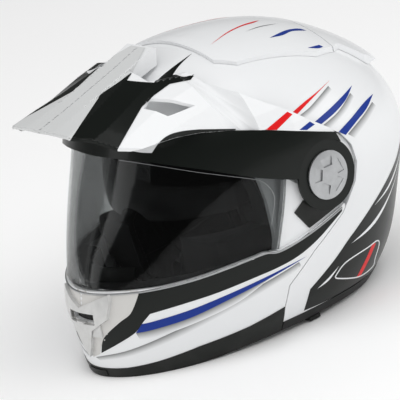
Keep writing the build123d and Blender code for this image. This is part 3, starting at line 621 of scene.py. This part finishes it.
film("arm_stripe_red", [[(287.3, 111.7), (292.5, 114.3)], [(292.5, 114.3), (276.8, 130)],
                        [(276.8, 130), (265.6, 130)], [(265.6, 130), (287.3, 111.7)]],
     ["peak"], red, "visor", step=1.6)
film("arm_stripe_blue", [[(309.8, 121.5), (314.7, 124.4)], [(314.7, 124.4), (307, 130)],
                         [(307, 130), (299.3, 130)], [(299.3, 130), (309.8, 121.5)]],
     ["peak"], blue, "visor", step=1.6)
shades = {
    "shade_red": ([(328, 86), (318, 98), (309, 108), (299, 116)],
                  [(332, 90), (323, 101), (314, 111), (306, 118)]),
    "shade_blue_front": ([(350, 93), (343, 105), (335, 115), (321, 127)],
                         [(354, 97), (348, 109), (340, 119), (329, 130)]),
    "shade_blue_rear": ([(372, 102), (365, 113), (358, 122), (348, 134)],
                        [(376, 106), (370, 117), (364, 126), (355, 138)]),
}
for name, (strong, weak) in shades.items():
    film(name, [strong, [strong[-1], weak[-1]], weak[::-1], [weak[0], strong[0]]], roof, shadow, "root",
         fade=(strong, weak), step=1.6, rise=0.14)
film("crown_wedge_black", [
    [(155, 83), (162, 76), (175.4, 65.3), (192.2, 53.3)], [(192.2, 53.3), (180, 65), (172.6, 75.1)],
    [(172.6, 75.1), (178.2, 74.4)], [(178.2, 74.4), (174.7, 79.3)], [(174.7, 79.3), (186.6, 77.2)],
    [(186.6, 77.2), (194.3, 74.4)], [(194.3, 74.4), (189.4, 80)], [(189.4, 80), (169.8, 86)],
    [(169.8, 86), (155, 83)]], ["outer_shell"], black, "root")

# Rear panel: black with white slashes, a red bar and a white loop. Its edges are side-view
# points (y, z), "panelMiddle" has its top and foot at the middle of the back, and the loop is in pixels
rearGraphics = {
    "panelTop": [(-10, 36), (18, 53), (36, 65), (47, 71), (80, 88), (117, 107), (146, 126)],
    "panelFoot": [(140, 12), (100, 11), (30, 13), (-15, 16)],
    "panelMiddle": [(0, 142), (0, 12)],
    "slashes": [
        [[(40, 60), (75, 68), (110, 84), (140, 106)], [(140, 106), (108, 81), (75, 64), (40, 60)]],
        [[(75, 82), (105, 92), (135, 112), (155, 134)], [(155, 134), (133, 109), (105, 89), (75, 82)]],
        [[(-2, 33), (12, 36), (24, 45)], [(24, 45), (12, 39), (-2, 33)]],
    ],
    "loop": [(336.8, 273.6), (345.9, 262.1), (367.4, 247.6), (376.6, 240.7), (378.9, 243.8), (375, 257.5),
             (372, 266.7), (358.2, 276.7), (336.8, 278.2), (336.8, 273.6)],
    "bar": [[(72, 46), (78, 43)], [(78, 43), (58, 19)], [(58, 19), (50, 20)], [(50, 20), (72, 46)]],
}


# Side-view points of the shell as points of the round view
def roundPoints(line):
    found = [laidOn(["outer_shell"], point, "side") for point in line]
    found = [hit[0] for hit in found if hit]
    return [(2 * degrees(atan2(p.x, p.y - roundAxis)), p.z / mm) for p in found]


panelTop, panelFoot = roundPoints(rearGraphics["panelTop"]), roundPoints(rearGraphics["panelFoot"])
panelMiddle = rearGraphics["panelMiddle"]
film("rear_panel_black", [
    panelTop + panelMiddle[:1], panelMiddle, panelMiddle[1:] + panelFoot, [panelFoot[-1], panelTop[0]],
], ["outer_shell"], black, "root", view="round", step=3.0)
for count, runs in enumerate(rearGraphics["slashes"]):
    film(f"rear_slash_{count + 1}", runs, ["outer_shell"], white, "root", view="side", step=1.6, rise=0.24)
film("rear_bar_red", rearGraphics["bar"], ["outer_shell"], red, "root", view="side", step=1.6, rise=0.24)
print("graphics laid")


# Modifiers are worked out into a plain mesh
def settle(piece):
    graph = bpy.context.evaluated_depsgraph_get()
    mesh = bpy.data.meshes.new_from_object(piece.evaluated_get(graph))
    piece.modifiers.clear()
    piece.data = mesh
    return piece


# A small geometry node group with one geometry input and named values
class Geo:
    def __init__(self, name, values):
        self.group = bpy.data.node_groups.new(name, "GeometryNodeTree")
        panel = self.group.interface
        panel.new_socket("Geometry", in_out="INPUT", socket_type="NodeSocketGeometry")
        panel.new_socket("Geometry", in_out="OUTPUT", socket_type="NodeSocketGeometry")
        self.ids = {}
        for label, (kind, value) in values.items():
            socket = panel.new_socket(label, in_out="INPUT", socket_type=kind)
            if value is not None:
                socket.default_value = value
            self.ids[label] = socket.identifier
        self.start = self.add("NodeGroupInput")
        self.end = self.add("NodeGroupOutput")

    def add(self, kind, settings=None, inputs=None):
        node = self.group.nodes.new(kind)
        for key, value in (settings or {}).items():
            setattr(node, key, value)
        for key, value in (inputs or {}).items():
            if isinstance(value, bpy.types.NodeSocket):
                self.group.links.new(value, node.inputs[key])
            else:
                node.inputs[key].default_value = value
        return node

    def finish(self, geometry):
        real = self.add("GeometryNodeRealizeInstances", None, {0: geometry})
        painted = self.add("GeometryNodeSetMaterial", None, {
            "Geometry": real.outputs[0], "Material": self.start.outputs["Finish"]})
        self.group.links.new(painted.outputs[0], self.end.inputs[0])


def makeStitches():
    geo = Geo("stitches", {
        "Spacing": ("NodeSocketFloat", 0.004), "Length": ("NodeSocketFloat", 0.0026),
        "Thread": ("NodeSocketFloat", 0.0004), "Finish": ("NodeSocketMaterial", None)})
    line = geo.add("GeometryNodeResampleCurve", {"mode": "LENGTH"}, {
        "Curve": geo.start.outputs["Geometry"], "Length": geo.start.outputs["Spacing"]})
    along = geo.add("GeometryNodeInputTangent")
    turn = geo.add("FunctionNodeAlignRotationToVector", {"axis": "Z"}, {"Vector": along.outputs[0]})
    half = geo.add("ShaderNodeMath", {"operation": "MULTIPLY"}, {0: geo.start.outputs["Length"], 1: 0.5})
    size = geo.add("ShaderNodeCombineXYZ", None, {
        0: geo.start.outputs["Thread"], 1: geo.start.outputs["Thread"], 2: half.outputs[0]})
    seed = geo.add("GeometryNodeMeshIcoSphere", None, {"Radius": 1.0, "Subdivisions": 2})
    rows = geo.add("GeometryNodeInstanceOnPoints", None, {
        "Points": line.outputs[0], "Instance": seed.outputs[0], "Rotation": turn.outputs[0],
        "Scale": size.outputs[0]})
    geo.finish(rows.outputs[0])
    return geo


def makeBead():
    geo = Geo("bead", {
        "Radius": ("NodeSocketFloat", 0.0006), "Sides": ("NodeSocketInt", 10),
        "Finish": ("NodeSocketMaterial", None)})
    ring = geo.add("GeometryNodeCurvePrimitiveCircle", None, {
        "Resolution": geo.start.outputs["Sides"], "Radius": geo.start.outputs["Radius"]})
    tube = geo.add("GeometryNodeCurveToMesh", None, {
        "Curve": geo.start.outputs["Geometry"], "Profile Curve": ring.outputs[0], "Fill Caps": True})
    geo.finish(tube.outputs[0])
    return geo


stitches, bead = makeStitches(), makeBead()


# Runs a node group along a line of points in metres and keeps the result as a mesh
def along(name, points, geo, values, finish, body, closed=False):
    data = bpy.data.curves.new(name, "CURVE")
    data.dimensions = "3D"
    spline = data.splines.new("POLY")
    spline.points.add(len(points) - 1)
    for point, place in zip(spline.points, points):
        point.co = (*place, 1)
    spline.use_cyclic_u = closed
    guide = bpy.data.objects.new(name + "_guide", data)
    bpy.context.collection.objects.link(guide)
    runs = guide.modifiers.new("run", "NODES")
    runs.node_group = geo.group
    for label, value in {**values, "Finish": finish}.items():
        runs[geo.ids[label]] = value
    graph = bpy.context.evaluated_depsgraph_get()
    mesh = bpy.data.meshes.new_from_object(guide.evaluated_get(graph))
    bpy.data.objects.remove(guide)
    for polygon in mesh.polygons:
        polygon.use_smooth = True
    piece = bpy.data.objects.new(name, mesh)
    bpy.context.collection.objects.link(piece)
    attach(piece, body)
    return piece


# Bright bead where the visor meets the chin bar, partly trim and partly a painted highlight of the glossy
# edge: its front is found by turning about a point behind the chin, in even steps of an angle, and its sides
# follow side-view points
trimBeadAndHighlight = {
    "level": 78.2, "radius": 0.0009, "lift": 0.3, "middle": -0.075, "turn": 3.2, "turns": 12,
    "side": [(-145, 78.2), (-129, 79), (-105, 81), (-77, 84.4), (-52, 86.8), (-39, 84), (-18, 87), (8, 93.4),
             (30, 99.4)],
}
line = []
proud = trimBeadAndHighlight["radius"] * trimBeadAndHighlight["lift"]
for k in range(trimBeadAndHighlight["turns"]):
    angle = radians(90 - trimBeadAndHighlight["turn"] * k)
    out = Vector((cos(angle), -sin(angle), 0))
    start = Vector((0, trimBeadAndHighlight["middle"], trimBeadAndHighlight["level"] * mm)) + out * 0.2
    found = nearestHit(["chin_bar"], start, -out)
    if found:
        line.append(found[0] + found[1] * proud)
for y, z in flowing(trimBeadAndHighlight["side"], 5):
    found = nearestHit(["chin_bar"], Vector((rayStart, y * mm, z * mm)), Vector((-1, 0, 0)))
    if found and found[0].y > line[-1].y + 0.002:
        line.append(found[0] + found[1] * proud)
beadLine = [Vector((-p.x, p.y, p.z)) for p in line[:0:-1]] + line
# silver bead: partly trim, partly a painted highlight along the chin bar's glossy edge
along("visor_edge_bead_and_highlight", beadLine, bead, {"Radius": trimBeadAndHighlight["radius"]}, silver, "flip_front")


# Smooth line through pixels of the picture, laid on one node
def lineOn(node, pixels):
    found = [laidOn([node], p, "photo") for p in flowing(pixels)]
    return [hit[0] for hit in found if hit]


# White loop on the rear panel
loopBead = {"Radius": 0.0007, "Sides": 8}
loopLine = lineOn("outer_shell", rearGraphics["loop"])
loop = along("rear_loop_left", loopLine, bead, loopBead, white, "root", closed=True)


def mirrored(piece, name, body):
    mesh = piece.data.copy()
    for vert in mesh.vertices:
        vert.co.x = -vert.co.x
    mesh.flip_normals()
    other = bpy.data.objects.new(name, mesh)
    bpy.context.collection.objects.link(other)
    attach(other, body)
    return other


mirrored(loop, "rear_loop_right", "root")

# Light outline of the insert on the visor, partly the insert's edge and partly a painted highlight of the eye
# port's rubber lip
insertBeadAndHighlight = {"Radius": 0.00024, "Sides": 8}
insertLine = lineOn("visor_shield", [
    (118.9, 160), (155.4, 165.6), (200.3, 172.6), (242.4, 177.8), (260.6, 181), (270.5, 188.7),
    (274.7, 198.6), (273.3, 212.6), (271.2, 225.2)])
# thin silver line: partly the insert's edge, partly a painted highlight of the eye port's rubber lip
insert = along("visor_insert_bead_and_highlight_left", insertLine, bead, insertBeadAndHighlight, silver, "visor")
mirrored(insert, "visor_insert_bead_and_highlight_right", "visor")
print("beads run")

# Padded pieces: the solid drawn in, remeshed, swelled as cloth under pressure, then sewn
padding = {"voxel": 0.0045, "pressure": 4.0, "frames": 20, "stiffness": 14.0, "quickShare": 0.6}


def padFrom(name, node, drawIn, capOf):
    shape = bmesh.new()
    shape.from_mesh(nodes[node].data)
    bmesh.ops.remove_doubles(shape, verts=shape.verts, dist=0.00002)
    mesh = bpy.data.meshes.new(name)
    shape.to_mesh(mesh)
    shape.free()
    piece = bpy.data.objects.new(name, mesh)
    bpy.context.collection.objects.link(piece)
    grid = piece.modifiers.new("grid", "REMESH")
    grid.mode, grid.voxel_size = "VOXEL", padding["voxel"]
    settle(piece)
    for vert in piece.data.vertices:
        vert.co -= vert.normal * drawIn
    rest = [(v.co.copy(), v.normal.copy()) for v in piece.data.vertices]
    swell = piece.modifiers.new("swell", "CLOTH")
    fabric = swell.settings
    fabric.quality = 4
    fabric.tension_stiffness = fabric.compression_stiffness = padding["stiffness"]
    fabric.use_pressure = True
    fabric.uniform_pressure_force = padding["pressure"]
    fabric.effector_weights.gravity = 0
    for step in range(1, padding["frames"] + 1):
        bpy.context.scene.frame_set(step)
    settle(piece)
    bpy.context.scene.frame_set(1)
    for vert, (place, normal) in zip(piece.data.vertices, rest):
        move = vert.co - place
        most = capOf(place, normal)
        if move.length > most:
            vert.co = place + move.normalized() * most
    fine = piece.modifiers.new("fine", "SUBSURF")
    fine.levels = fine.render_levels = 1
    settle(piece)
    piece.data.materials.clear()
    piece.data.materials.append(lining)
    for polygon in piece.data.polygons:
        polygon.use_smooth = True
        polygon.material_index = 0
    return piece


# Draws the surface in along sewn lines; each point of a line is a tiny triangle of the search tree
def sew(piece, lines, depth, width):
    near = []
    for line in lines:
        for a, b in zip(line, line[1:]):
            count = max(1, int((b - a).length / (width * 0.5)))
            near += [a.lerp(b, k / count) for k in range(count)]
    dots = [(3 * i, 3 * i + 1, 3 * i + 2) for i in range(len(near))]
    tree = BVHTree.FromPolygons([p for p in near for _ in range(3)], dots)
    for vert in piece.data.vertices:
        place, _, _, far = tree.find_nearest(vert.co, width * 3)
        if place is not None:
            vert.co -= vert.normal * depth * exp(-((far / width) ** 2))


def treeOf(mesh):
    return BVHTree.FromPolygons([v.co for v in mesh.vertices], [tuple(p.vertices) for p in mesh.polygons])


# Points of a side-view line laid on a left piece's face towards the head
def laidInside(piece, line, lift):
    tree = treeOf(piece.data)
    laid = []
    for y, z in line:
        place, normal, _, _ = tree.ray_cast(Vector((0, y * mm, z * mm)), Vector((1, 0, 0)))
        if place is not None:
            laid.append(place + normal * lift)
    return laid


cheekPad = {
    "drawIn": 0.0022, "innerCap": 0.0075, "outerCap": 0.002, "sewnDepth": 0.0016, "sewnWidth": 0.003,
    "lift": 0.0002,
    "seam": [(-66, 48), (-52, 30), (-34, 24), (20, 24), (44, 28), (48, 60), (44, 92), (10, 98), (-50, 98),
             (-68, 88), (-66, 48)],
    "fold": [(-66, 66), (-30, 58), (10, 60), (46, 70)],
}
left = padFrom("cheek_cushion_left", "cheek_pad_left", cheekPad["drawIn"],
               lambda place, normal: cheekPad["innerCap"] if normal.x < -0.5 else cheekPad["outerCap"])
seam = laidInside(left, flowing(cheekPad["seam"], 8), 0.0)
fold = laidInside(left, flowing(cheekPad["fold"], 12), 0.0)
sew(left, [seam, fold], cheekPad["sewnDepth"], cheekPad["sewnWidth"])
cheekLines = [laidInside(left, flowing(cheekPad[key], 14), cheekPad["lift"]) for key in ("seam", "fold")]
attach(left, "root")
right = mirrored(left, "cheek_cushion_right", "root")
for piece, node in ((left, "cheek_pad_left"), (right, "cheek_pad_right")):
    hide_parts(node)
thread = cloth("grey_thread", (0.07, 0.07, 0.072), 900.0, 0.0001)
for count, line in enumerate(cheekLines):
    row = along(f"cheek_stitches_left_{count + 1}", line, stitches, {"Spacing": 0.0042}, thread, "root")
    mirrored(row, f"cheek_stitches_right_{count + 1}", "root")
print("cheek cushions sewn")

# Crown lining: two seams run from front to back, found by rays from the middle of the head
headMiddle = Vector((0, 0.006, 0.12))
crownPad = {
    "drawIn": 0.0012, "innerCap": 0.0035, "outerCap": 0.0004, "sewnDepth": 0.0014, "sewnWidth": 0.003,
    "seamSide": 0.034, "seamFrom": 10, "seamTo": 170, "seamSteps": 40,
}


def crownCap(place, normal):
    return crownPad["innerCap"] if normal.dot(headMiddle - place) > 0 else crownPad["outerCap"]


crown = padFrom("crown_lining", "comfort_liner", crownPad["drawIn"], crownCap)
crownTree = treeOf(crown.data)
crownSeams = []
for side in (-crownPad["seamSide"], crownPad["seamSide"]):
    line = []
    for k in range(crownPad["seamSteps"] + 1):
        share = k / crownPad["seamSteps"]
        angle = radians(crownPad["seamFrom"] + (crownPad["seamTo"] - crownPad["seamFrom"]) * share)
        start = Vector((side * 0.6, headMiddle.y, headMiddle.z))
        way = Vector((side * 4 * sin(angle), cos(angle), sin(angle))).normalized()
        place = crownTree.ray_cast(start, way)[0]
        if place is not None:
            line.append(place)
    crownSeams.append(line)
sew(crown, crownSeams, crownPad["sewnDepth"], crownPad["sewnWidth"])
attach(crown, "root")
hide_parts("comfort_liner")
print("crown lining sewn")

neckPad = {"drawIn": 0.0015, "cap": 0.003}
neck = padFrom("neck_cushion", "neck_roll", neckPad["drawIn"], lambda place, normal: neckPad["cap"])
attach(neck, "root")
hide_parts("neck_roll")
print("neck cushion made")

# Chin curtain: one sheet of cloth between the black edge and its own hem, with a slight ripple
curtain = {
    "across": 48, "deep": 8, "level": 11.0, "sag": 1.6, "thick": 0.8, "inset": 0.6, "share": 0.985,
    "ripple": 0.3, "ripples": 0.5, "hem": 0.0009,
}


def makeCurtain():
    tree = treeOf(nodes["chin_curtain"].data)
    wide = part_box("chin_curtain")[1].x * curtain["share"]
    rows = []
    for i in range(curtain["across"] + 1):
        x = -wide + 2 * wide * i / curtain["across"]
        front = tree.ray_cast(Vector((x, -0.3, curtain["level"] * mm)), Vector((0, 1, 0)))[0]
        rear = tree.ray_cast(Vector((x, 0.1, curtain["level"] * mm)), Vector((0, -1, 0)))[0]
        if front is not None and rear is not None:
            rows.append((x, front.y + curtain["inset"] * mm, rear.y - curtain["inset"] * mm))
    verts, faces = [], []
    count = curtain["deep"] + 1
    for x, front, rear in rows:
        for k in range(count):
            t = k / curtain["deep"]
            ripple = curtain["ripple"] * sin(x / mm * curtain["ripples"]) * t
            drop = curtain["sag"] * sin(pi * t) * (1 - (x / wide) ** 2) + ripple
            verts.append(Vector((x, front + (rear - front) * t, (curtain["level"] - drop) * mm)))
    for i in range(len(rows) - 1):
        for k in range(curtain["deep"]):
            a = i * count + k
            faces.append((a, a + count, a + count + 1, a + 1))
    piece = newPiece("chin_curtain_cloth", verts, faces, lining, "flip_front")
    thicker = piece.modifiers.new("thick", "SOLIDIFY")
    thicker.thickness = curtain["thick"] * mm
    thicker.offset = 0
    settle(piece)
    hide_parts("chin_curtain")
    depth = max(rear - front for _, front, rear in rows)
    hem = [Vector((x, rear, curtain["level"] * mm)) for x, _, rear in rows]
    along("chin_curtain_hem", hem, bead, {"Radius": curtain["hem"]}, webbing, "flip_front")


makeCurtain()
print("chin curtain made")

# Strap: flat webbing with stitched ends; the points repeat the strap's route
strap = {
    "route": [(107.2, 44), (103.6, 33), (96, 27), (60, 23), (22, 21.5)], "middle": -14, "width": 22,
    "thick": 1.9, "edge": 0.7, "stitched": 9, "rows": {"upper": 6, "lower": -8},
}


def makeStrap(name, side):
    line = [Vector((x, 0, z)) for x, z in flowing(strap["route"], 8)]
    half, thick = strap["width"] / 2, strap["thick"] / 2
    flat = half - strap["edge"]
    section = [(-half, 0), (-flat, thick), (0, thick * 0.94), (flat, thick), (half, 0), (flat, -thick),
               (0, -thick * 0.94), (-flat, -thick)]
    verts, faces = [], []
    for i, place in enumerate(line):
        before, after = line[max(i - 1, 0)], line[min(i + 1, len(line) - 1)]
        way = (after - before).normalized()
        out = Vector((-way.z, 0, way.x))
        for w, t in section:
            spot = place + out * t
            verts.append(Vector((side * spot.x, strap["middle"] + w, spot.z)) * mm)
    count = len(section)
    for i in range(len(line) - 1):
        for k in range(count):
            a, b = i * count + k, i * count + (k + 1) % count
            faces.append((a, b, b + count, a + count) if side < 0 else (a + count, b + count, b, a))
    cap = tuple(range(count))
    last = tuple(len(verts) - count + k for k in range(count))
    faces += [cap[::-1] if side < 0 else cap, last if side < 0 else last[::-1]]
    piece = newPiece(name, verts, faces, webbing, "root")
    tidy = bmesh.new()
    tidy.from_mesh(piece.data)
    bmesh.ops.recalc_face_normals(tidy, faces=tidy.faces)
    tidy.to_mesh(piece.data)
    tidy.free()
    return piece, line


for name, side in (("chin_strap_left", 1), ("chin_strap_right", -1)):
    piece, line = makeStrap(name.replace("chin_strap", "strap_webbing"), side)
    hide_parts(name)
    for row, place in strap["rows"].items():
        spot = line[place]
        way = (line[place + 1] - line[place - 1]).normalized()
        out = Vector((-way.z, 0, way.x)) * (strap["thick"] / 2 + 0.1)
        ends = [Vector((side * (spot.x + out.x), strap["middle"] + w, spot.z + out.z)) * mm
                for w in (-strap["stitched"], strap["stitched"])]
        along(f"{name}_stitches_{row}", ends, stitches, {"Spacing": 0.0036, "Length": 0.0024}, thread, "root")
print("straps made")

# Studio: pale floor, bright even surroundings, three soft boxes
floorMesh = bpy.data.meshes.new("floor")
floorMesh.from_pydata([(-12, -12, 0), (12, -12, 0), (12, 12, 0), (-12, 12, 0)], [], [(0, 1, 2, 3)])
floor = bpy.data.objects.new("floor", floorMesh)
floor.location.z = cadLow.z - 0.0003    # a hair below the lower edge
bpy.context.collection.objects.link(floor)
paleFloor = Mat("pale_floor", Roughness=0.9)
floorTones = rgb(0.96, 0.96, 0.96), rgb(0.98, 0.98, 0.98)
paleFloor.put("Base Color", paleFloor.blend(paleFloor.noise(2.0), *floorTones))
floorMesh.materials.append(paleFloor.material)
world = bpy.data.worlds.new("studio")
bpy.context.scene.world = world
world.use_nodes = True
backdrop = world.node_tree.nodes["Background"]
backdrop.inputs["Color"].default_value = rgb(1, 1, 1)
surroundings = {"seen": 1.0, "reflected": 0.14, "fill": 0.70}
rays = world.node_tree.nodes.new("ShaderNodeLightPath")
levels = [world.node_tree.nodes.new("ShaderNodeMix") for _ in range(2)]
levels[0].inputs[0].default_value = 0.0
levels[0].inputs[2].default_value = surroundings["fill"]
levels[0].inputs[3].default_value = surroundings["reflected"]
levels[1].inputs[3].default_value = surroundings["seen"]
world.node_tree.links.new(rays.outputs["Is Glossy Ray"], levels[0].inputs[0])
world.node_tree.links.new(rays.outputs["Is Camera Ray"], levels[1].inputs[0])
world.node_tree.links.new(levels[0].outputs[0], levels[1].inputs[2])
world.node_tree.links.new(levels[1].outputs[0], backdrop.inputs["Strength"])
lamps = {
    "key": {"place": (1.3, -0.2, 2.4), "size": (2.6, 2.6), "power": 31},
    "front": {"place": (-1.3, -2.4, 1.2), "size": (0.9, 2.2), "power": 9},
    "rear": {"place": (1.8, 2.2, 1.0), "size": (1.6, 1.2), "power": 9},
}
lampTarget = Vector((0, 0, 0.13))
for name, lamp in lamps.items():
    data = bpy.data.lights.new(name, "AREA")
    data.shape = "RECTANGLE"
    data.size, data.size_y = lamp["size"]
    data.energy = lamp["power"]
    light = bpy.data.objects.new(name, data)
    bpy.context.collection.objects.link(light)
    light.location = lamp["place"]
    light.rotation_euler = (lampTarget - light.location).to_track_quat("-Z", "Y").to_euler()
bpy.context.scene.view_settings.view_transform = "Standard"
print("studio ready")
